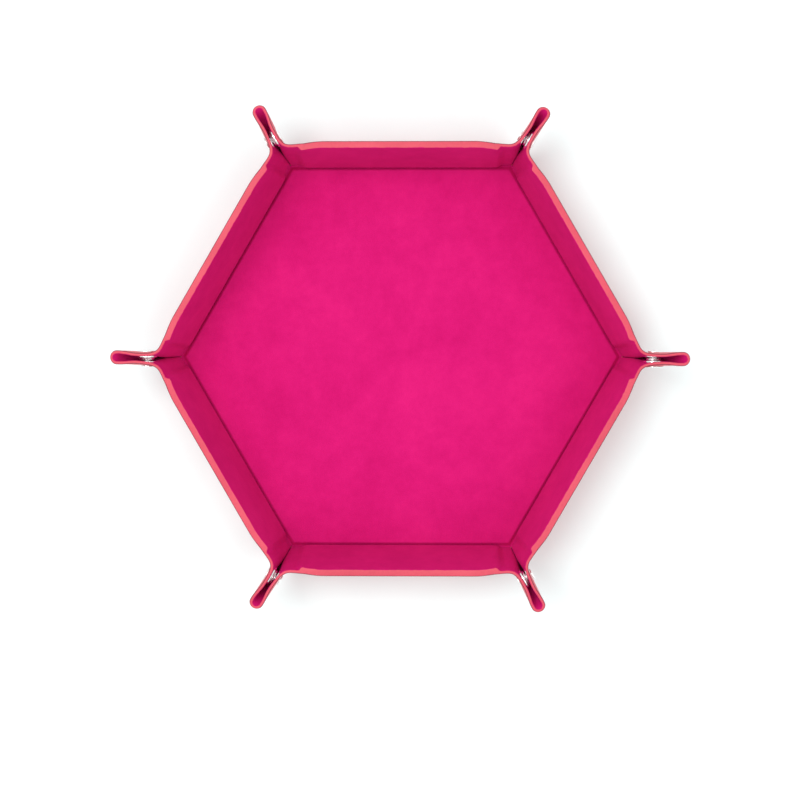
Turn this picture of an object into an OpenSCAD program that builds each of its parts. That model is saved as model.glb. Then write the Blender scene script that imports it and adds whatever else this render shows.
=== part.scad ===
// Folding hexagonal dice tray: one velvet-lined leather sheet stiffened by card boards.
// Six walls fold up from the base, and a snap fastener pinches the sheet at each corner.
// Millimetres. The origin is the centre of the underside and +Z is up. Corner 1 lies on +X,
// wall 1 follows it counter-clockwise, and both are numbered counter-clockwise from above.

/* [Tray] */
// Distance across the base, from crease to opposite crease
base_across = 175; // [150:1:190]
// Width of each wall, from its crease to its rim
wall_width = 38.5; // [37:0.5:42]
// Angle of a raised wall above the table, in degrees
wall_tilt = 79; // [76:1:80]

/* [Sheets and boards] */
// Thickness of the leather-look outer skin
skin_t = 0.7; // [0.5:0.1:0.8]
// Thickness of the velvet lining
lining_t = 0.7; // [0.5:0.1:0.8]
// Thickness of the card boards
board_t = 1.6; // [1.2:0.1:2]
// Length of each wall's board
wall_board_len = 85; // [70:1:86]
// Distance from a crease to the edge of each board beside it
board_margin = 2.5; // [2.3:0.1:3]

/* [Pinched corners] */
// Clear gap between the two flaps of a pinched corner
pinch_gap = 3.2; // [3:0.1:3.6]
// Radius of the sheet's outer corners
sheet_corner_r = 7; // [5:1:8]

/* [Snap fasteners] */
// Distance of a fastener from the corner of the base
snap_distance = 32.5; // [32:0.5:34]
// Angle of a fastener above the fold of its corner, in degrees
snap_angle = 16.8; // [14:0.2:17]
// Diameter of the cap on the outside
cap_d = 9.2; // [8.4:0.2:9.4]
// Diameter of the socket behind the cap
socket_d = 8.8; // [8.2:0.2:9]
// Diameter of the flange that holds the stud
flange_d = 8.4; // [7.6:0.2:8.8]
// Diameter of the stud's head
stud_d = 4.4; // [4:0.1:4.6]

/* [Hidden] */
$fn = 48;
corners = 6;
step_angle = 360 / corners;
half_step = step_angle / 2;
reach = 80;                 // longer than any flap, for the shapes that trim the flaps
web_t = skin_t + lining_t;  // skin and lining glued together, with no board between them

// Base
corner_r = base_across / 2 / cos(half_step);
side_len = corner_r;
crease_setback = 0.3;

// Walls: a wall's end creases lean out beyond square by end_lean
corner_rise = atan(cos(half_step) * tan(wall_tilt));
end_lean = acos(-cos(corner_rise) / 2) - 90;
fold_setback = 0.8;

// Pinched corners: the fold rises by pinch_rise, and the flaps fan out from it by flap_sector
flap_sector = half_step - end_lean;
pinch_rise = corner_rise - flap_sector;
fold_r = (pinch_gap + web_t) / 2;                    // middle of the sheet, where it turns back
crease_foot = fold_r / cos(half_step);               // from a base corner to a wall's end crease
foot_back = fold_r * tan(half_step);
foot_p = -foot_back * cos(pinch_rise);
foot_n = foot_back * sin(pinch_rise);
fold_arc = PI * fold_r / 2;                          // sheet used by half of the turn
fold_n = fold_arc - fold_r + foot_n;                 // height of the turn's centre above the fold line
tip_p = wall_width / cos(half_step) + foot_back * (1 - cos(pinch_rise));
tip_round = sheet_corner_r * (1 / cos(half_step) - 1);
flap_start_p = 5;
turn_start_p = 7;
turn_half_angle = 45;                                // each way from the middle of the turn
flap_below = 1;                                      // a flap reaches this far below the turn's centre
open_pivot_gap = 2.4;                                // from the loop to the flap it isn't joined to
sheet_out = pinch_gap / 2 + web_t;                   // outer face of a flap

// Snap fasteners
snap_p = snap_distance * cos(snap_angle);
snap_n = snap_distance * sin(snap_angle);
cap_rim_t = 0.5;
cap_crown_t = 0.6;
cap_bevel = 1.1;
post_d = 2.8;
post_clearance = 0.2;
socket_t = 2;
socket_floor_t = 0.6;
socket_bore_d = stud_d + 1;
flange_t = 0.7;
stud_neck_d = stud_d - 0.8;
stud_neck_t = 0.5;
stud_head_t = 1;
stud_bevel = 0.5;
rivet_d = 5;
rivet_t = 0.7;

velvet_color = [0.78, 0.08, 0.40];
leather_color = [0.93, 0.39, 0.43];
card_color = [0.45, 0.43, 0.40];
metal_color = [0.78, 0.78, 0.80];

function numbered(name) = [for (i = [1:corners]) str(name, "_", i)];

// Half the length of a wall's sheet at a distance x from its crease
function wall_half_len(x) =
    side_len / 2 - crease_foot + x * tan(end_lean) - fold_setback / cos(end_lean);

// A wall's own frame: X runs from the crease to the rim, Y along the crease, Z into the tray
module wall_frame(i) {
    rotate([0, 0, half_step + step_angle * (i - 1)])
        translate([base_across / 2, 0, skin_t])
            rotate([0, -wall_tilt, 0])
                children();
}

// A pinched corner's own frame: X runs up the fold, Y across the pinch, Z away from the fold
module pinch_frame(i) {
    rotate([0, 0, step_angle * (i - 1)])
        translate([corner_r, 0, skin_t])
            rotate([0, -pinch_rise, 0])
                children();
}

// The axis of a corner's fastener, with Z pointing out through the cap
module snap_axis(i) {
    pinch_frame(i)
        translate([snap_p, 0, snap_n])
            rotate([90, 0, 0])
                children();
}

module base_plate(setback, bottom, thickness) {
    translate([0, 0, bottom])
        cylinder(r = (base_across / 2 - setback) / cos(half_step), h = thickness, $fn = corners);
}

module base_skin() {
    color(leather_color)
        base_plate(crease_setback, 0, skin_t);
}

module base_board() {
    color(card_color)
        base_plate(board_margin, skin_t, board_t);
}

module base_lining() {
    color(velvet_color)
        base_plate(board_margin, skin_t + board_t, lining_t);
}

module wall_skin(i) {
    color(leather_color)
        wall_frame(i)
            translate([0, 0, -skin_t])
                linear_extrude(height = skin_t)
                    polygon([
                        [crease_setback, -wall_half_len(crease_setback)],
                        [wall_width, -wall_half_len(wall_width)],
                        [wall_width, wall_half_len(wall_width)],
                        [crease_setback, wall_half_len(crease_setback)]
                    ]);
}

// A plate as long as a wall's board, lying on the inner side of the wall's skin
module wall_plate(i, bottom, thickness, rim_margin) {
    wall_frame(i)
        translate([board_margin, -wall_board_len / 2, bottom])
            cube([wall_width - board_margin - rim_margin, wall_board_len, thickness]);
}

module wall_board(i) {
    color(card_color)
        wall_plate(i, 0, board_t, 1);
}

module wall_lining(i) {
    color(velvet_color)
        wall_plate(i, board_t, lining_t, 0);
}

// Flat shape of a flap, from lowest_n up to the wall's end crease, with the fastener's hole
module flap_profile(lowest_n) {
    difference() {
        intersection() {
            translate([foot_p, foot_n])
                rotate(flap_sector)
                    translate([0, -reach - fold_setback])
                        square(reach);
            translate([tip_p, fold_n - fold_arc])
                rotate(half_step)
                    translate([-reach, -reach])
                        square([reach, 2 * reach]);
            translate([flap_start_p, lowest_n])
                square(reach);
        }
        translate([snap_p, snap_n])
            circle(d = post_d + post_clearance);
    }
}

// One flap of a pinch on its +Y side, standing on the sheet's inner face
module flap_plate(lowest_n) {
    translate([0, sheet_out, 0])
        rotate([90, 0, 0])
            linear_extrude(height = web_t)
                flap_profile(lowest_n);
}

// Outline that trims the turn at the rim, following the sheet's rounded corner
module turn_profile() {
    polygon([
        [turn_start_p, fold_n - sheet_out],
        [tip_p - tip_round, fold_n - sheet_out],
        [tip_p - tip_round, fold_n - fold_r],
        [tip_p - fold_arc * tan(half_step), fold_n],
        [turn_start_p, fold_n]
    ]);
}

// Flap on the clockwise side
module corner_flap_cw(i) {
    color(leather_color)
        pinch_frame(i)
            mirror([0, 1, 0])
                flap_plate(fold_n - flap_below);
}

// Flap on the counter-clockwise side
module corner_flap_ccw(i) {
    color(leather_color)
        pinch_frame(i)
            flap_plate(fold_n + open_pivot_gap);
}

// The middle of the sheet's turn, which stands in the fold
module corner_turn(i) {
    color(leather_color)
        pinch_frame(i)
            intersection() {
                translate([turn_start_p, 0, fold_n])
                    rotate([90, 0, 90])
                        linear_extrude(height = reach)
                            intersection() {
                                difference() {
                                    circle(r = sheet_out);
                                    circle(r = pinch_gap / 2);
                                }
                                rotate(-90 - turn_half_angle)
                                    square(reach);
                            }
                translate([0, reach / 2, 0])
                    rotate([90, 0, 0])
                        linear_extrude(height = reach)
                            turn_profile();
            }
}

// The strip of sheet between the turn and the counter-clockwise flap
module corner_loop(i) {
    color(leather_color)
        pinch_frame(i)
            translate([turn_start_p, pinch_gap / 2, fold_n - flap_below])
                cube([tip_p - fold_arc * tan(half_step) - turn_start_p, web_t, flap_below]);
}

// The fastener's two pieces on the clockwise flap: the cap with its post, and the socket
module snap_cap(i) {
    post_len = web_t + socket_floor_t;
    color(metal_color)
        snap_axis(i) {
            union() {
                translate([0, 0, sheet_out])
                    cylinder(d = cap_d, h = cap_rim_t);
                translate([0, 0, sheet_out + cap_rim_t])
                    cylinder(d1 = cap_d, d2 = cap_d - 2 * cap_bevel, h = cap_crown_t);
                translate([0, 0, sheet_out - post_len])
                    cylinder(d = post_d, h = post_len);
            }
            translate([0, 0, pinch_gap / 2 - socket_t])
                difference() {
                    cylinder(d = socket_d, h = socket_t);
                    translate([0, 0, -1])
                        cylinder(d = post_d + post_clearance, h = socket_t + 2);
                    translate([0, 0, -1])
                        cylinder(d = socket_bore_d, h = socket_t - socket_floor_t + 1);
                }
        }
}

// The fastener's stud on the counter-clockwise flap, with its flange and the rivet ring behind it
module snap_stud(i) {
    flange_z = -pinch_gap / 2;
    neck_z = flange_z + flange_t;
    head_z = neck_z + stud_neck_t;
    color(metal_color)
        snap_axis(i)
            union() {
                translate([0, 0, -sheet_out - rivet_t])
                    cylinder(d = rivet_d, h = rivet_t);
                translate([0, 0, -sheet_out])
                    cylinder(d = post_d, h = web_t);
                translate([0, 0, flange_z])
                    cylinder(d = flange_d, h = flange_t);
                translate([0, 0, neck_z])
                    cylinder(d = stud_neck_d, h = stud_neck_t);
                translate([0, 0, head_z])
                    cylinder(d = stud_d, h = stud_head_t - stud_bevel);
                translate([0, 0, head_z + stud_head_t - stud_bevel])
                    cylinder(d1 = stud_d, d2 = stud_d - 2 * stud_bevel, h = stud_bevel);
            }
}

base_board();
base_skin();
base_lining();
for (i = [1:corners]) {
    wall_board(i);
    wall_skin(i);
    wall_lining(i);
    corner_flap_cw(i);
    corner_flap_ccw(i);
    corner_turn(i);
    corner_loop(i);
    snap_cap(i);
    snap_stud(i);
}
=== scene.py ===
"""Looks of the folding hexagonal dice tray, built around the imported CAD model.

Lengths in the shape functions are millimetres; add_mesh turns them into metres.
The sheet is described by its middle surface. The velvet lining lies on the inner side of it
and the leather skin on the outer side, and each is cut into panels along the folds.
"""
import math

import bmesh
import bpy
import numpy as np
from mathutils import Matrix, Vector


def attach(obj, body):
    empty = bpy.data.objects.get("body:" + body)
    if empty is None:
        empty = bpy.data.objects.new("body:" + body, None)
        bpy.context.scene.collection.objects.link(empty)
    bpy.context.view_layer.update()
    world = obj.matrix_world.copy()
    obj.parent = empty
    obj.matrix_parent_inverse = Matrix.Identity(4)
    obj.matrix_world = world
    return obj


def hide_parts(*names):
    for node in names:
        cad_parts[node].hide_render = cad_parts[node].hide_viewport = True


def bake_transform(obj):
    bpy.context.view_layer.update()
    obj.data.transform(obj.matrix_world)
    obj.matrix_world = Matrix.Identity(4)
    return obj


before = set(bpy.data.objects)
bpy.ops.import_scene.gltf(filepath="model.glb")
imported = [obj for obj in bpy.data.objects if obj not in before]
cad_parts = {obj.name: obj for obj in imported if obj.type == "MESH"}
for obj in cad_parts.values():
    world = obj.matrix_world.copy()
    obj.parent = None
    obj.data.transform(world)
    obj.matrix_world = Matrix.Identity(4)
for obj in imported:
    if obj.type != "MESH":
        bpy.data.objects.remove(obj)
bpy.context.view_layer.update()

MM = 0.001

# ---------------------------------------------------------------- sizes, as in the CAD model
BASE_ACROSS = 175.0
WALL_WIDTH = 38.5
WALL_TILT = math.radians(79)
SKIN_T = 0.7
LINING_T = 0.65
BOARD_T = 1.6
WEB_H = 0.7                       # height of the velvet above the middle surface without a board
BOARD_HALF = 42.5
BOARD_MARGIN = 2.5
CORNERS = 6
STEP = math.radians(60)
APOTHEM = BASE_ACROSS / 2
CORNER_R = APOTHEM / math.cos(STEP / 2)
FOOT_P, FOOT_C = -0.79, 2.30      # where a wall's end crease starts, in the flat pinch
L_FOOT = 2.656                    # from a base corner to the wall's end crease, along the crease
CORNER_RISE = math.radians(77.35)
PINCH_RISE = math.radians(53.636)
FOLD_R = 2.3
FOLD_N = 2.3822
C_TO_N = 1.2307                   # from the distance across the fold to the height over it
L_TOP_C = 17.88
TIP_P = 44.997
TIP_R = 7.0
SNAP_P, SNAP_N = 31.11, 9.39

# ---------------------------------------------------------------- sizes of the panels
PANEL_HALF = 42.0                 # half length of a wall's own panel
PANEL_A = CORNER_R / 2 - PANEL_HALF
BAND = 3.0                        # the part of a wall's panel that lies on the base
SPLIT_C = 10.0                    # a flap's panel meets the fold's panel on this ray
BEND_C = 14.4                     # the bend between wall and flap ends on this ray
BOW = 1.45                        # how far the ends of the walls are pulled into the tray
BOW_REACH = 17.0                  # and over what length
BEND_COLS = 34
TUCK = 0.06                       # gap between the base panel and the walls' panels where they overlap
GLUE = 0.03                       # the leather's inner face stays this far from the middle surface
BASE_CORE = 8.0                   # the regular middle of the base panel ends this far from the creases

# ---------------------------------------------------------------- directions of wall 1 and corner 1
X, Y, Z = np.eye(3)
WALL_OUT = math.cos(STEP / 2) * X + math.sin(STEP / 2) * Y
WALL_ALONG = -math.sin(STEP / 2) * X + math.cos(STEP / 2) * Y
WALL_UP = math.cos(WALL_TILT) * WALL_OUT + math.sin(WALL_TILT) * Z
WALL_IN = -math.sin(WALL_TILT) * WALL_OUT + math.cos(WALL_TILT) * Z
PINCH_OUT = math.cos(PINCH_RISE) * X + math.sin(PINCH_RISE) * Z     # up the fold
PINCH_N = -math.sin(PINCH_RISE) * X + math.cos(PINCH_RISE) * Z      # away from the fold
CORNER = CORNER_R * X + SKIN_T * Z                  # base corner 1, which wall 1's hinge axis runs through

# Outward and lengthwise directions of all six sides, in plan
SIDE_ANGLES = STEP / 2 + STEP * np.arange(CORNERS)
SIDE_OUT = np.stack([np.cos(SIDE_ANGLES), np.sin(SIDE_ANGLES)], axis=1)
SIDE_ALONG = np.stack([-np.sin(SIDE_ANGLES), np.cos(SIDE_ANGLES)], axis=1)


def smooth(x):
    """From 0 to 1 with level ends, as x goes from 0 to 1."""
    t = np.clip(x, 0.0, 1.0)
    return t * t * (3 - 2 * t)


def spin(points, angle):
    """Points turned about the Z axis."""
    c, s = math.cos(angle), math.sin(angle)
    m = np.array([[c, -s, 0], [s, c, 0], [0, 0, 1]])
    return points @ m.T


def mirror_y(points):
    """Points on the other side of corner 1."""
    return points * np.array([1.0, -1.0, 1.0])


def unit(v):
    """Vectors brought to length 1."""
    return v / np.maximum(np.linalg.norm(v, axis=-1, keepdims=True), 1e-9)


# ---------------------------------------------------------------- mesh helpers
def add_mesh(name, verts, faces, material, smooth_angle):
    """A mesh object from points in millimetres, with edges sharper than smooth_angle kept sharp."""
    mesh = bpy.data.meshes.new(name)
    mesh.from_pydata((np.asarray(verts) * MM).tolist(), [], faces)
    bm = bmesh.new()
    bm.from_mesh(mesh)
    bmesh.ops.remove_doubles(bm, verts=bm.verts, dist=2e-6)
    bmesh.ops.dissolve_degenerate(bm, dist=1e-6, edges=bm.edges)
    bmesh.ops.recalc_face_normals(bm, faces=bm.faces)
    limit = math.radians(smooth_angle)
    for e in bm.edges:
        e.smooth = len(e.link_faces) == 2 and e.calc_face_angle(0) < limit
    for f in bm.faces:
        f.smooth = True
    bm.to_mesh(mesh)
    bm.free()
    obj = bpy.data.objects.new(name, mesh)
    bpy.context.scene.collection.objects.link(obj)
    obj.data.materials.append(material)
    return obj


def slab(name, upper, lower, material, closed=False):
    """A closed solid between two grids of the same size, rows by columns by XYZ."""
    rows, cols = upper.shape[:2]
    verts = np.concatenate([upper.reshape(-1, 3), lower.reshape(-1, 3)])
    off = rows * cols

    def at(r, c):
        return r * cols + c % cols

    faces = []
    span = cols if closed else cols - 1
    for r in range(rows - 1):
        for c in range(span):
            quad = (at(r, c), at(r, c + 1), at(r + 1, c + 1), at(r + 1, c))
            faces.append(quad)
            faces.append(tuple(off + k for k in reversed(quad)))
    for c in range(span):
        for r, flip in ((0, True), (rows - 1, False)):
            quad = (at(r, c), at(r, c + 1), off + at(r, c + 1), off + at(r, c))
            faces.append(tuple(reversed(quad)) if flip else quad)
    if not closed:
        for r in range(rows - 1):
            for c, flip in ((0, False), (cols - 1, True)):
                quad = (at(r, c), at(r + 1, c), off + at(r + 1, c), off + at(r, c))
                faces.append(tuple(reversed(quad)) if flip else quad)
    return add_mesh(name, verts, faces, material, 50)


def grid_normals(grid):
    """Unit normals of a grid: its direction along the rows crossed with that up the columns."""
    along = np.gradient(grid, axis=1)
    up = np.gradient(grid, axis=0)
    return unit(np.cross(along, up))


# ---------------------------------------------------------------- materials
class Nodes:
    """A short way to build one material's nodes."""

    def __init__(self, name):
        self.mat = bpy.data.materials.new(name)
        self.mat.use_nodes = True
        self.tree = self.mat.node_tree
        self.bsdf = self.tree.nodes["Principled BSDF"]
        self.coords = self.tree.nodes.new("ShaderNodeTexCoord")

    def new(self, kind, **settings):
        node = self.tree.nodes.new("ShaderNode" + kind)
        for key, value in settings.items():
            setattr(node, key, value)
        return node

    def link(self, out, socket):
        self.tree.links.new(out, socket)

    def noise(self, scale, detail=3.0, rough=0.55, stretch=None):
        node = self.new("TexNoise")
        node.inputs["Scale"].default_value = scale
        node.inputs["Detail"].default_value = detail
        node.inputs["Roughness"].default_value = rough
        if stretch:
            mapping = self.new("Mapping")
            mapping.inputs["Scale"].default_value = stretch
            self.link(self.coords.outputs["Object"], mapping.inputs["Vector"])
            self.link(mapping.outputs["Vector"], node.inputs["Vector"])
        else:
            self.link(self.coords.outputs["Object"], node.inputs["Vector"])
        return node.outputs["Fac"]

    def voronoi(self, scale):
        node = self.new("TexVoronoi", feature="F1")
        node.inputs["Scale"].default_value = scale
        self.link(self.coords.outputs["Object"], node.inputs["Vector"])
        return node.outputs["Distance"]

    def ramp(self, fac, stops):
        node = self.new("ValToRGB")
        elements = node.color_ramp.elements
        while len(elements) < len(stops):
            elements.new(0.5)
        for element, (place, color) in zip(elements, stops):
            element.position = place
            element.color = (*color, 1.0)
        self.link(fac, node.inputs["Fac"])
        return node.outputs["Color"]

    def span(self, fac, low, high):
        node = self.new("MapRange")
        node.inputs["To Min"].default_value = low
        node.inputs["To Max"].default_value = high
        self.link(fac, node.inputs["Value"])
        return node.outputs["Result"]

    def scaled(self, value, factor):
        node = self.new("Math", operation="MULTIPLY")
        self.link(value, node.inputs[0])
        node.inputs[1].default_value = factor
        return node.outputs[0]

    def blended(self, a, share_a, b, share_b):
        """Two patterns added together, each times its share."""
        node = self.new("Math", operation="ADD")
        self.link(self.scaled(a, share_a), node.inputs[0])
        self.link(self.scaled(b, share_b), node.inputs[1])
        return node.outputs[0]

    def bump(self, height, strength, distance):
        node = self.new("Bump")
        node.inputs["Strength"].default_value = strength
        node.inputs["Distance"].default_value = distance
        self.link(height, node.inputs["Height"])
        self.link(node.outputs["Normal"], self.bsdf.inputs["Normal"])

    def set(self, **values):
        for key, value in values.items():
            self.bsdf.inputs[key.replace("_", " ")].default_value = value


def velvet_material(name, light, mid, dark):
    """Short-pile velvet: cloudy nap, a fine fuzz and a soft sheen."""
    n = Nodes(name)
    clouds = n.noise(24.0, 4.0, 0.6)
    nap = n.noise(160.0, 5.0, 0.65)
    fuzz = n.noise(2600.0, 2.0, 0.7)
    tone = n.blended(clouds, 0.55, nap, 0.45)
    color = n.ramp(tone, [(0.32, dark), (0.5, mid), (0.68, light)])
    n.link(color, n.bsdf.inputs["Base Color"])
    n.link(n.span(nap, 0.82, 0.98), n.bsdf.inputs["Roughness"])
    n.set(Sheen_Weight=0.07, Sheen_Roughness=0.5, Sheen_Tint=(1.0, 0.1, 0.5, 1.0))
    n.bsdf.inputs["Specular IOR Level"].default_value = 0.04
    n.bump(n.blended(fuzz, 0.7, nap, 0.3), 0.55, 0.00035)
    return n.mat


def leather_material():
    """Coral PU leather with a pebbled grain."""
    n = Nodes("coral_leather")
    pebble = n.voronoi(1100.0)
    wrinkle = n.noise(420.0, 4.0, 0.6)
    patch = n.noise(18.0, 3.0, 0.5)
    color = n.ramp(n.blended(pebble, 0.5, patch, 0.5),
                   [(0.2, (0.50, 0.055, 0.08)), (0.5, (0.60, 0.078, 0.108)), (0.8, (0.66, 0.10, 0.13))])
    n.link(color, n.bsdf.inputs["Base Color"])
    n.link(n.span(wrinkle, 0.38, 0.56), n.bsdf.inputs["Roughness"])
    n.bsdf.inputs["Specular IOR Level"].default_value = 0.4
    n.bump(n.blended(pebble, 0.75, wrinkle, 0.25), 0.5, 0.0002)
    return n.mat


def edge_material(name, dark, mid, light):
    """The cut edge, sealed with coral edge paint that is a little uneven. In dark colours it makes the
    painted shadow line along the rim's outer edge.
    """
    n = Nodes(name)
    fibre = n.noise(900.0, 4.0, 0.65)
    patch = n.noise(60.0, 3.0, 0.5)
    color = n.ramp(n.blended(fibre, 0.5, patch, 0.5), [(0.3, dark), (0.5, mid), (0.7, light)])
    n.link(color, n.bsdf.inputs["Base Color"])
    n.link(n.span(fibre, 0.45, 0.7), n.bsdf.inputs["Roughness"])
    n.bsdf.inputs["Specular IOR Level"].default_value = 0.35
    n.bump(fibre, 0.35, 0.0003)
    return n.mat


def metal_material():
    """Nickel-plated brass with faint swirl marks from pressing."""
    n = Nodes("nickel")
    swirl = n.noise(700.0, 3.0, 0.6)
    smear = n.noise(90.0, 3.0, 0.5)
    color = n.ramp(smear, [(0.3, (0.82, 0.81, 0.80)), (0.7, (0.93, 0.92, 0.91))])
    n.link(color, n.bsdf.inputs["Base Color"])
    n.link(n.span(smear, 0.14, 0.32), n.bsdf.inputs["Roughness"])
    n.set(Metallic=1.0)
    n.bump(swirl, 0.12, 0.00005)
    return n.mat


def card_material():
    """Grey pressed card with short fibres."""
    n = Nodes("grey_card")
    fibre = n.noise(500.0, 5.0, 0.7, (1.0, 4.0, 1.0))
    color = n.ramp(fibre, [(0.3, (0.14, 0.125, 0.11)), (0.7, (0.25, 0.23, 0.2))])
    n.link(color, n.bsdf.inputs["Base Color"])
    n.link(n.span(fibre, 0.75, 0.95), n.bsdf.inputs["Roughness"])
    n.bump(fibre, 0.4, 0.0002)
    return n.mat


VELVET = velvet_material(
    "rose_velvet", light=(0.61, 0.0115, 0.160), mid=(0.55, 0.008, 0.142), dark=(0.49, 0.0055, 0.121))
LEATHER = leather_material()
EDGE = edge_material(
    "coral_edge_paint", dark=(0.50, 0.046, 0.078), mid=(0.57, 0.058, 0.094), light=(0.62, 0.074, 0.112))
# painted shade: the dark colour of the thin line along the rim's outer edge stands for the shadow there
EDGE_SHADOW_LINE = edge_material(
    "edge_shadow_line", dark=(0.17, 0.012, 0.03), mid=(0.22, 0.018, 0.038), light=(0.27, 0.025, 0.048))
METAL = metal_material()
CARD = card_material()


def finish_piece(replaced=()):
    """Hides the CAD nodes that a piece stands for."""
    if replaced:
        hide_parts(*replaced)


# ---------------------------------------------------------------- base
def height_over_middle(distance):
    """Height of the velvet over the middle surface, by distance from a crease; boards lift it."""
    return WEB_H + BOARD_T * smooth((distance - 1.0) / 2.0)


def base_rings():
    """The base's own panel as rings of points: a regular middle, then a rim that follows its outline."""
    ends = np.linspace(0, PANEL_A, 9)
    slant = np.linspace(0, BAND, 8)[1:]
    middle = np.linspace(PANEL_A + BAND, CORNER_R - PANEL_A - BAND, 24)[1:-1]
    half_place = np.concatenate([ends, PANEL_A + slant])
    half_depth = np.concatenate([np.zeros(len(ends)), slant])
    place = np.concatenate([half_place, middle, CORNER_R - half_place[::-1]])
    depth = np.concatenate([half_depth, np.full(len(middle), BAND), half_depth[::-1]])
    crease = CORNER_R * X + np.outer(place, WALL_ALONG)
    side = (crease - np.outer(depth, WALL_OUT))[:-1]
    core_side = (crease * (1 - BASE_CORE / APOTHEM))[:-1]
    outline = np.concatenate([spin(side, STEP * k) for k in range(CORNERS)])
    core = np.concatenate([spin(core_side, STEP * k) for k in range(CORNERS)])
    rings = [core * k for k in np.linspace(0, 1, 10)]
    rings += [core + (outline - core) * k for k in np.linspace(0, 1, 26)[1:]]
    return np.stack(rings)


def crease_distance(points):
    """Distance of each point of the base from the nearest crease."""
    return APOTHEM - (points[..., :2] @ SIDE_OUT.T).max(axis=-1)


def inside_end(points):
    """How far each point lies from the nearest end of its wall's panel, toward the middle of the wall."""
    nearest = (points[..., :2] @ SIDE_OUT.T).argmax(axis=-1)
    place = np.take_along_axis(points[..., :2] @ SIDE_ALONG.T, nearest[..., None], axis=-1)[..., 0]
    return PANEL_HALF - np.abs(place)


def build_base():
    """The velvet and the leather over and under the base board, up to the walls' panels."""
    flat = base_rings()
    distance = crease_distance(flat)
    under_wall = (distance < BAND - 0.01) & (inside_end(flat) > 0.01)
    heights = {
        "velvet": SKIN_T + height_over_middle(distance) - TUCK * under_wall,
        "leather": np.full_like(distance, SKIN_T - 0.02),
    }
    undersides = {"velvet": heights["velvet"] - LINING_T, "leather": TUCK * under_wall}
    for slot, material, replaced in (("velvet", VELVET, "base_lining"), ("leather", LEATHER, "base_skin")):
        upper, lower = flat.copy(), flat.copy()
        upper[..., 2] = heights[slot]
        lower[..., 2] = undersides[slot]
        obj = slab(f"base_{slot}", upper, lower, material, closed=True)
        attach(obj, "base")
        finish_piece([replaced])


# ---------------------------------------------------------------- walls
BAND_INSET = 0.12                 # the edge paint stops this far short of the velvet's face
BAND_DEPTH = 0.25                 # and reaches this far down below the rim
RAGGED = 0.07                     # spread of its ragged inner edge
SHADOW_LINE_WIDTH = 0.33                 # the painted shadow line along its outer edge
LINE_END = 0.38                   # the rows that carry the line end here, and the rest share the width
FILLET = 1.5                      # the velvet's fillet reaches this far from the crease


def crease_profile_inner():
    """Points across wall 1 on the velvet's face, from the base over the crease up to the rim."""
    half = (math.pi - WALL_TILT) / 2
    reach = WEB_H / math.tan(half)
    on_base = np.linspace(-BAND, -FILLET, 11)
    base_side = [q * WALL_OUT + height_over_middle(-q) * Z for q in on_base]
    a = base_side[-1]
    b = FILLET * WALL_UP + height_over_middle(FILLET) * WALL_IN
    corner = -reach * WALL_OUT + WEB_H * Z
    fillet = [(1 - t) ** 2 * a + 2 * t * (1 - t) * corner + t * t * b for t in np.linspace(0, 1, 14)[1:-1]]
    on_wall = np.concatenate([np.linspace(FILLET, 3.2, 10), np.linspace(4.5, WALL_WIDTH, 16)])
    wall_side = [u * WALL_UP + height_over_middle(u) * WALL_IN for u in on_wall]
    return np.array(base_side + fillet + wall_side)


def crease_profile_outer(inset):
    """Points across wall 1 on the leather, inset from its outer face, from the base to the rim."""
    r = SKIN_T - inset
    base_side = [q * WALL_OUT - r * Z for q in np.linspace(-BAND, -0.15, 8)]
    arc = []
    for t in np.linspace(0, 1, 12):
        angle = -math.pi / 2 + t * WALL_TILT
        arc.append(r * (math.cos(angle) * WALL_OUT + math.sin(angle) * Z))
    wall_side = [u * WALL_UP - r * WALL_IN for u in np.linspace(0.15, WALL_WIDTH, 18)]
    return np.array(base_side + arc + wall_side)


def profile_normals(profile):
    """Unit normals of a profile across wall 1."""
    along = np.gradient(profile, axis=0)
    return unit(np.cross(WALL_ALONG, along))


def bow(a, u):
    """How far a wall's end is pulled into the tray by the pinched corner, at a from the corner and u up."""
    near = np.clip((BOW_REACH - a) / (BOW_REACH - 6.0), 0, 1.1) ** 1.6
    return BOW * near * np.clip(u / WALL_WIDTH, 0, 1) ** 1.2


def sweep_wall(profile):
    """The profile carried along wall 1 over the length of its panel."""
    places = np.linspace(PANEL_A, CORNER_R - PANEL_A, 70)
    height = profile @ WALL_UP
    columns = []
    for a in places:
        pull = bow(min(a, CORNER_R - a), height)
        columns.append(CORNER + a * WALL_ALONG + profile + pull[:, None] * WALL_IN)
    return np.stack(columns, axis=1)


def rim_band(line_outer, line_inner, outward, name):
    """The painted edge: a thin crowned band over the sandwich's end face, with a painted shadow line
    outside it.
    """
    width = np.linalg.norm(line_inner - line_outer, axis=-1, keepdims=True)
    across = unit(line_inner - line_outer)
    count = len(line_outer)
    ragged = np.random.default_rng(sum(map(ord, name))).normal(0, RAGGED, count)[:, None]
    inner_width = width - BAND_INSET + ragged
    rows, crown = [], []
    for s in [0.0, 0.12, 0.24, 0.36] + list(np.linspace(0.40, 1.0, 7)):
        if s < LINE_END:
            offset = s
        else:
            offset = LINE_END + (s - LINE_END) / (1 - LINE_END) * (inner_width - LINE_END)
        rows.append(line_outer + across * offset)
        crown.append(0.06 + 0.24 * (1 - (2 * s - 1) ** 4))
    base = np.stack(rows)
    crown = np.array(crown)[:, None, None]
    band = slab(name, base + outward * crown, base - outward * BAND_DEPTH, EDGE)
    band.data.materials.append(EDGE_SHADOW_LINE)
    for face in band.data.polygons:
        centre = np.mean([band.data.vertices[v].co for v in face.vertices], axis=0) / MM
        nearest = np.argmin(np.linalg.norm(line_outer - centre, axis=-1))
        # faces this close to the outer edge get the painted shadow line
        if (centre - line_outer[nearest]) @ across[nearest] < SHADOW_LINE_WIDTH:
            face.material_index = 1
    return band


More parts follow.
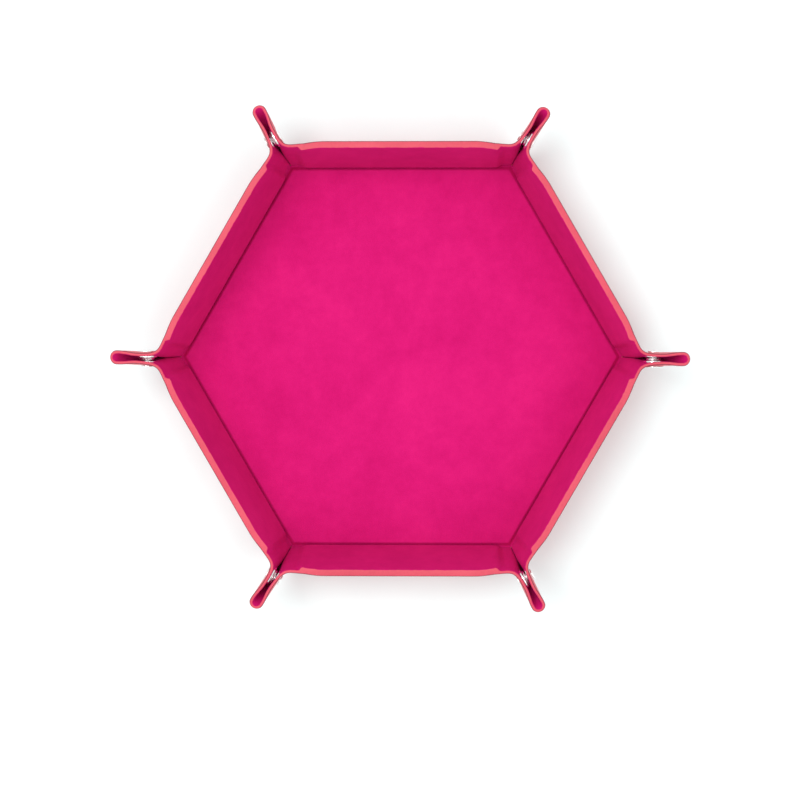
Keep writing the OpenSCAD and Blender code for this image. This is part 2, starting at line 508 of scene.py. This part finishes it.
def build_wall(i):
    """Wall i: velvet and leather that bend at the crease, the board between them and the painted rim."""
    turn = STEP * (i - 1)
    wall = f"wall_{i}"

    inner = crease_profile_inner()
    normals = profile_normals(inner)
    side = np.sign((normals @ WALL_IN)[-1])
    layers = (
        ("velvet", VELVET, f"wall_lining_{i}", inner, inner - side * normals * LINING_T),
        ("leather", LEATHER, f"wall_skin_{i}",
         crease_profile_outer(SKIN_T - GLUE), crease_profile_outer(0.0)),
    )
    for slot, material, replaced, upper, lower in layers:
        faces = [spin(sweep_wall(profile), turn) for profile in (upper, lower)]
        obj = slab(f"wall_{i}_{slot}", *faces, material)
        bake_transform(obj)
        finish_piece([replaced])

    board = []
    for w in (BOARD_T, 0.0):
        rows = [u * WALL_UP + w * WALL_IN for u in np.linspace(BOARD_MARGIN, WALL_WIDTH - 1, 12)]
        board.append(spin(sweep_wall(np.array(rows)), turn))
    card = slab(f"wall_{i}_card", *board, CARD)
    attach(card, wall)
    finish_piece([f"wall_board_{i}"])

    rim = sweep_wall(np.array([WALL_WIDTH * WALL_UP]))[0]
    rim_outer = rim - SKIN_T * WALL_IN
    rim_inner = rim + (WEB_H + BOARD_T) * WALL_IN
    band = rim_band(spin(rim_outer, turn), spin(rim_inner, turn), spin(WALL_UP, turn), f"wall_{i}_edge")
    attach(band, wall)
    finish_piece()


# ---------------------------------------------------------------- corners
HALF_BEND = 3.6                   # a flap bends over this length to each side of the wall's end crease
FOLD_NEAR, FOLD_FAR = 0.5, 2.7    # the fold bends between these distances from its line
NEAR_CLOSED = 0.27                # share of the pinch's full width where it starts, between the walls
FLAP_NEAR = 0.38                  # and between the flaps
WALLS_OPEN = (0.68, 1.0)          # shares of the height between which it widens, between the walls
FLAPS_OPEN = (0.4, 0.92)          # and between the flaps
RAY_SLANT = math.radians(12)      # rough slant of a flap's rays, to tell how far below the rim a point is

# The pinch at the rim, from above: distance from the base's corner and half width of the middle surface
THROAT_X, THROAT_HALF = 8.0, 2.25       # where it starts between the walls
NECK_X, NECK_HALF = 15.0, 1.71          # squeezed by the snap
LOOP_X, LOOP_HALF = 22.5, 2.42          # sprung open beyond it
END_X, END_HALF = 28.0, 2.30

# The bend between wall and flap at the rim: distances from the corner of the two lines
BEND_ALPHA = [10.0, 7.5, 5.0, 3.1, 1.85, 0.95, 0.35, 0.05, 0.0, 0.0]
BEND_BETA = [0.0, 0.0, 0.0, 0.08, 0.32, 0.80, 1.55, 2.40, 3.1, 4.0]
BEND_T = [0.0, 0.18, 0.36, 0.50, 0.60, 0.69, 0.78, 0.86, 0.92, 1.0]

RIM_ZONE = 3.2                    # the rim's own shape fades out this far below it
FOOT_ZONE = 0.14                  # share of the height over which the pinch grows out of the crease

# The velvet over a board's end drops to the web over this length, lower down and at the rim
DROP_LOW, DROP_RIM = 4.0, 1.8

# How far each corner's loop is bent aside, counter-clockwise from above
LEAN = {1: 0.2, 2: -0.8, 3: -1.1, 4: -0.8, 5: -1.0, 6: -1.2}


def hermite(x, xs, ys):
    """A cubic curve through points, whose slope at each point follows from its neighbours."""
    xs, ys = np.asarray(xs, float), np.asarray(ys, float)
    m = np.gradient(ys, xs)
    k = np.clip(np.searchsorted(xs, x) - 1, 0, len(xs) - 2)
    h = xs[k + 1] - xs[k]
    t = np.clip((x - xs[k]) / h, 0, 1)
    return ((2 * t**3 - 3 * t**2 + 1) * ys[k] + (t**3 - 2 * t**2 + t) * h * m[k]
            + (3 * t**2 - 2 * t**3) * ys[k + 1] + (t**3 - t**2) * h * m[k + 1])


def width_share(lam, near, low, high):
    """Share of the pinch's full width, by height: near at the bottom, and full above high."""
    return near + (1 - near) * smooth((lam - low) / (high - low))


def outline_p(c):
    """Where the rim lies on the flat pinch, by distance across the fold; the tip is rounded."""
    tangent = TIP_R * 0.5
    straight = TIP_P - math.tan(STEP / 2) * c
    tip = TIP_P - math.tan(STEP / 2) * tangent - TIP_R * math.cos(STEP / 2)
    rounded = tip + math.sqrt(max(TIP_R**2 - c**2, 0.0))
    return straight if c > tangent else rounded


def rim_half_width(x):
    """Half width of the pinch's middle surface at the rim, by distance from the base's corner."""
    closing = np.clip((x - THROAT_X) / (NECK_X - THROAT_X), 0, 1)
    to_neck = (NECK_HALF - THROAT_HALF) * (1 - (1 - closing) ** 2)
    to_loop = (LOOP_HALF - NECK_HALF) * smooth((x - NECK_X) / (LOOP_X - NECK_X))
    to_end = (END_HALF - LOOP_HALF) * smooth((x - LOOP_X) / (END_X - LOOP_X))
    return THROAT_HALF + to_neck + to_loop + to_end


def flap_ray(rim_c, lams):
    """Middle surface of a flap from the base's corner to the rim, on the +Y side."""
    share = rim_c / L_TOP_C
    p = FOOT_P * share + (outline_p(rim_c) - FOOT_P * share) * lams
    c = FOOT_C * share + (rim_c - FOOT_C * share) * lams
    turn = np.minimum(c / FOLD_R, math.pi / 2)
    n = np.where(c < FOLD_R * math.pi / 2, FOLD_N - FOLD_R * np.cos(turn), c - C_TO_N)
    t = FOLD_R * width_share(lams, FLAP_NEAR, *FLAPS_OPEN) * np.sin(turn)
    plan_x = math.cos(PINCH_RISE) * p - math.sin(PINCH_RISE) * n
    to_rim = (1 - lams) * math.hypot(outline_p(rim_c), rim_c) * math.cos(RAY_SLANT)
    near_rim = 1 - smooth(to_rim / RIM_ZONE)
    pull = 1 + (rim_half_width(plan_x) / FOLD_R - 1) * near_rim
    point = CORNER + p[:, None] * PINCH_OUT + (t * pull)[:, None] * Y + n[:, None] * PINCH_N
    foot = CORNER + L_FOOT * NEAR_CLOSED * share * WALL_ALONG
    return foot + (point - foot) * smooth(lams / FOOT_ZONE)[:, None]


def wall_line(lams, a):
    """Points of wall 1's middle surface at heights lams and at distances a from the corner."""
    u = lams * WALL_WIDTH
    return CORNER + np.outer(a, WALL_ALONG) + np.outer(u, WALL_UP)


def corner_side(lams):
    """Middle surface of the +Y half of corner 1, and the number of columns in its flap's panel.

    The columns run from the wall to the middle of the fold.
    """
    u = lams * WALL_WIDTH
    wall = wall_line(lams, np.full_like(lams, PANEL_A)) + bow(PANEL_A, u)[:, None] * WALL_IN
    at_crease = (FOLD_R * width_share(lams, NEAR_CLOSED, *WALLS_OPEN) - u * WALL_UP[1]) / WALL_ALONG[1]
    corner = wall_line(lams, at_crease) - (bow(4.0, u) / math.sin(STEP))[:, None] * X
    flap = flap_ray(BEND_C, lams)
    to_wall = (wall - corner) / BEND_ALPHA[0]
    to_flap = (flap - corner) / BEND_BETA[-1]
    bend = []
    for s in np.linspace(0, 1, BEND_COLS):
        alpha = float(hermite(s, BEND_T, BEND_ALPHA))
        beta = float(hermite(s, BEND_T, BEND_BETA))
        bend.append(corner + alpha * to_wall + beta * to_flap)
    flap_rays = [flap_ray(c, lams) for c in np.linspace(BEND_C, SPLIT_C, 8)[1:]]
    fold_places = np.concatenate([np.linspace(SPLIT_C, 5, 10)[1:], np.linspace(4.6, 0, 18)])
    fold_rays = [flap_ray(c, lams) for c in fold_places]
    return np.stack(bend + flap_rays + fold_rays, axis=1), len(bend) + len(flap_rays)


def inner_height(grid, lams, split):
    """Height of the velvet over the middle surface; it drops from the board's end to the web."""
    cols = grid.shape[1]
    a = (grid - CORNER) @ WALL_ALONG
    reach = (DROP_LOW + (DROP_RIM - DROP_LOW) * smooth((lams - 0.8) / 0.2))[:, None]
    past_board = smooth((CORNER_R / 2 - BOARD_HALF - 0.4 - a) / reach)
    past_board[:, BEND_COLS * 2 // 3:] = 1.0
    lift = smooth((lams * WALL_WIDTH - 1.0) / 2.0)[:, None] * (1 - past_board)
    height = WEB_H + BOARD_T * lift
    on_fold = np.clip((np.arange(cols) - split + 6) / 6.0, 0, 1)[None]
    thinned = 0.65 * (1 - smooth(lams / 0.4))[:, None]
    return height * (1 - thinned * on_fold)


def bend_aside(obj, lean, turn):
    """Bends the loop's end aside at rest."""
    co = np.empty(len(obj.data.vertices) * 3)
    obj.data.vertices.foreach_get("co", co)
    points = spin(co.reshape(-1, 3) / MM, -turn)
    far = smooth((np.linalg.norm(points[:, :2] - CORNER[:2], axis=1) - 4.0) / 22.0)
    high = smooth((points[:, 2] - 8.0) / 22.0)
    past_wall = smooth((points[:, 0] - CORNER_R - 3.5) / 5.0)
    points[:, 1] += lean * far * high * past_wall
    obj.data.vertices.foreach_set("co", (spin(points, turn) * MM).ravel())
    obj.data.update()


def corner_layers():
    """Faces of the velvet and leather on the +Y half of corner 1, the way up at its rim, and the split."""
    foot, body, rim = np.linspace(0, 0.12, 8), np.linspace(0.15, 0.88, 26), np.linspace(0.9, 1.0, 9)
    lams = np.concatenate([foot, body, rim])
    middle, split = corner_side(lams)
    both_halves = np.concatenate([middle, mirror_y(middle)[:, ::-1][:, 1:]], axis=1)
    normals = grid_normals(both_halves)[:, :middle.shape[1]]
    if normals[len(lams) // 2, 0] @ WALL_IN < 0:
        normals = -normals
    height = inner_height(middle, lams, split)[..., None]
    faces = {
        "velvet": (middle + normals * height, middle + normals * (height - LINING_T)),
        "leather": (middle - normals * GLUE, middle - normals * SKIN_T),
    }
    return faces, unit(middle[-1] - middle[-2]), split


def bend_lines(rim):
    """Start and end of the bend at the wall's end crease, and of the fold's bend, on the +Y side."""
    crease_axis = math.cos(CORNER_RISE) * X + math.sin(CORNER_RISE) * Z
    across = unit(np.cross(WALL_IN - Y, crease_axis))
    if across @ (rim[0] - rim[-1]) > 0:
        across = -across
    ridge = CORNER + L_FOOT * WALL_ALONG
    from_fold = (Y + PINCH_N) / 2
    bend = (ridge - HALF_BEND * across, ridge + HALF_BEND * across)
    fold = (CORNER + FOLD_NEAR * from_fold, CORNER + FOLD_FAR * from_fold)
    return bend, fold


def add_corner_panel(key, faces, up, span, place, line, lean, turn, replaced):
    """One panel of a corner: velvet, leather and painted edge."""
    pieces = {}
    for slot, material in (("velvet", VELVET), ("leather", LEATHER)):
        upper, lower = faces[slot]
        pieces[slot] = slab(f"{key}_{slot}", place(upper[:, span]), place(lower[:, span]), material)
    rim_outer, rim_inner = faces["leather"][1][-1, span], faces["velvet"][0][-1, span]
    pieces["edge"] = rim_band(place(rim_outer), place(rim_inner), place(up[span]), f"{key}_edge")
    start, end = (tuple(place(point) * MM) for point in line)
    for slot, obj in pieces.items():
        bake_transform(obj)
        bend_aside(obj, lean, turn)
        finish_piece([replaced] if slot == "leather" else ())
    return pieces


def build_corner(i):
    """Corner i: a flap's panel and half of the fold's panel on each side of it."""
    turn = STEP * (i - 1)
    past = i - 1 if i > 1 else CORNERS
    faces, up, split = corner_layers()
    bend, fold = bend_lines(faces["leather"][0][-1, :split + 1])
    sides = (
        ("ccw", f"wall_{i}", (f"turn_{i}", f"loop_{i}"), fold,
         f"corner_loop_{i}", f"snap_stud_{i}"),
        ("cw", f"wall_{past}", (f"flap_cw_{i}", f"turn_{i}"), fold[::-1],
         f"corner_turn_{i}", f"snap_cap_{i}"),
    )
    for side, wall, fold_bodies, fold_line, fold_node, snap in sides:
        def place(points):
            return spin(points if side == "ccw" else mirror_y(points), turn)

        flap_key, fold_key = f"flap_{side}_{i}", f"fold_{side}_{i}"
        pieces = add_corner_panel(flap_key, faces, up, slice(0, split), place, bend,
                                  LEAN[i], turn, f"corner_flap_{side}_{i}")
        pieces = add_corner_panel(fold_key, faces, up, slice(split - 1, None), place,
                                  fold_line, LEAN[i], turn, fold_node)


# ---------------------------------------------------------------- snap fasteners
def lathe(name, profile, place):
    """A turned solid: the profile is (radius, height) pairs that start and end on the axis."""
    segments = 48
    angles = np.linspace(0, 2 * math.pi, segments, endpoint=False)
    verts, faces, rings = [], [], []
    for r, h in profile:
        if r < 1e-6:
            rings.append([len(verts)])
            verts.append((0.0, 0.0, h))
        else:
            rings.append(list(range(len(verts), len(verts) + segments)))
            verts.extend((r * math.cos(a), r * math.sin(a), h) for a in angles)
    for low, high in zip(rings, rings[1:]):
        for k in range(segments):
            m = (k + 1) % segments
            if len(low) == 1:
                faces.append((low[0], high[k], high[m]))
            elif len(high) == 1:
                faces.append((low[k], low[m], high[0]))
            else:
                faces.append((low[k], low[m], high[m], high[k]))
    return add_mesh(name, place(np.array(verts)), faces, METAL, 35)


def rounded(points, radius):
    """A profile whose inner points are rounded off with short curves."""
    points = [np.array(p, float) for p in points]
    out = [points[0]]
    for a, b, c in zip(points, points[1:], points[2:]):
        r = min(radius, np.linalg.norm(a - b) * 0.45, np.linalg.norm(c - b) * 0.45)
        p, q = b + unit(a - b) * r, b + unit(c - b) * r
        for t in np.linspace(0, 1, 5):
            out.append((1 - t) ** 2 * p + 2 * t * (1 - t) * b + t * t * q)
    out.append(points[-1])
    return [tuple(p) for p in out]


# Profiles of the four pressed pieces: radius, and height toward the cap from the snap's middle
CAP = [
    (0, 2.95), (4.1, 2.95), (4.55, 3.05), (4.6, 3.35), (4.35, 3.62), (3.9, 3.72), (3.3, 3.86),
    (2.4, 4.0), (1.2, 4.08), (0, 4.1),
]
SOCKET = [
    (0, 1.6), (4.3, 1.6), (4.4, 1.35), (4.4, 0.75), (4.0, 0.5), (3.55, 0.45), (3.3, 0.1), (3.25, -0.25),
    (3.05, -0.4), (2.75, -0.35), (2.7, 0.1), (2.7, 1.0), (0, 1.0),
]
STUD = [
    (0, -1.6), (4.05, -1.6), (4.2, -1.45), (4.2, -1.05), (3.9, -0.92), (2.3, -0.9), (1.85, -0.7),
    (1.8, -0.4), (2.15, -0.2), (2.2, 0.1), (1.95, 0.45), (1.3, 0.58), (0, 0.6),
]
RIVET = [
    (0, -3.7), (0.9, -3.62), (1.3, -3.5), (1.75, -3.66), (2.2, -3.62), (2.5, -3.35), (2.5, -2.95),
    (0, -2.95),
]
PRESSED_RADIUS = 0.12             # rounding of the profiles' corners


def build_snap(i):
    """Corner i's snap: cap and socket on the clockwise flap, stud and rivet on the other."""
    turn = STEP * (i - 1)
    centre = CORNER + SNAP_P * PINCH_OUT + SNAP_N * PINCH_N

    def place(v):
        local = centre + v[:, 0:1] * PINCH_OUT + v[:, 1:2] * PINCH_N - v[:, 2:3] * Y
        return spin(local, turn)

    for name, profile, body, node in (
        ("snap_dome", CAP, f"flap_cw_{i}", f"snap_cap_{i}"),
        ("snap_socket", SOCKET, f"flap_cw_{i}", f"snap_cap_{i}"),
        ("snap_post", STUD, f"flap_ccw_{i}", f"snap_stud_{i}"),
        ("snap_rivet", RIVET, f"flap_ccw_{i}", f"snap_stud_{i}"),
    ):
        obj = lathe(f"{name}_{i}", rounded(profile, PRESSED_RADIUS), place)
        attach(obj, body)
        finish_piece([node])


# ---------------------------------------------------------------- the tray
build_base()
for number in range(1, CORNERS + 1):
    build_wall(number)
    build_corner(number)
    build_snap(number)

# The boards left from the CAD model are card too
for node_name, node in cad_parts.items():
    if "board" in node_name:
        node.data.materials.clear()
        node.data.materials.append(CARD)


# ---------------------------------------------------------------- floor, lights and camera
def build_floor():
    """A sheet of pale studio paper under the tray."""
    mesh = bpy.data.meshes.new("floor")
    half, low = 6.0, -0.0002
    corners = [(-half, -half, low), (half, -half, low), (half, half, low), (-half, half, low)]
    mesh.from_pydata(corners, [], [(0, 1, 2, 3)])
    floor = bpy.data.objects.new("floor", mesh)
    bpy.context.scene.collection.objects.link(floor)
    n = Nodes("studio_paper")
    grain = n.noise(30.0, 3.0, 0.5)
    color = n.ramp(grain, [(0.3, (0.745, 0.835, 0.83)), (0.7, (0.765, 0.855, 0.85))])
    n.link(color, n.bsdf.inputs["Base Color"])
    n.set(Roughness=0.9)
    n.bsdf.inputs["Specular IOR Level"].default_value = 0.1
    mesh.materials.append(n.mat)


def add_light(name, place, size, power):
    """A round soft light aimed at the middle of the tray."""
    data = bpy.data.lights.new(name, "AREA")
    data.shape = "DISK"
    data.size = size
    data.energy = power
    light = bpy.data.objects.new(name, data)
    light.location = place
    light.rotation_euler = (-Vector(place)).to_track_quat("-Z", "Y").to_euler()
    bpy.context.scene.collection.objects.link(light)


def build_studio():
    build_floor()
    add_light("key", (-0.55, 0.35, 1.7), 1.1, 16.5)
    add_light("fill", (0.9, -0.6, 1.6), 1.4, 7.0)
    world = bpy.data.worlds.new("studio")
    world.use_nodes = True
    background = world.node_tree.nodes["Background"]
    background.inputs["Color"].default_value = (1.0, 1.0, 1.0, 1.0)
    background.inputs["Strength"].default_value = 0.97
    scene = bpy.context.scene
    scene.world = world
    scene.view_settings.view_transform = "Standard"
    scene.view_settings.look = "None"


def build_camera():
    """A long lens a metre above the tray, a little to the right of and behind its middle."""
    data = bpy.data.cameras.new("camera")
    data.lens = 98.7
    data.sensor_width = 36.0
    data.shift_x = -0.00125
    data.shift_y = -0.054
    data.clip_start = 0.05
    data.clip_end = 20.0
    camera = bpy.data.objects.new("camera", data)
    place, target = Vector((0.0223, 0.0323, 1.0)), Vector((0.0, 0.0, 0.003))
    back = (place - target).normalized()
    right = Vector((0.0, 1.0, 0.0)).cross(back).normalized()
    up = back.cross(right)
    camera.matrix_world = Matrix((right, up, back)).transposed().to_4x4()
    camera.location = place
    bpy.context.scene.collection.objects.link(camera)
    bpy.context.scene.camera = camera


build_studio()
build_camera()

bpy.context.view_layer.update()
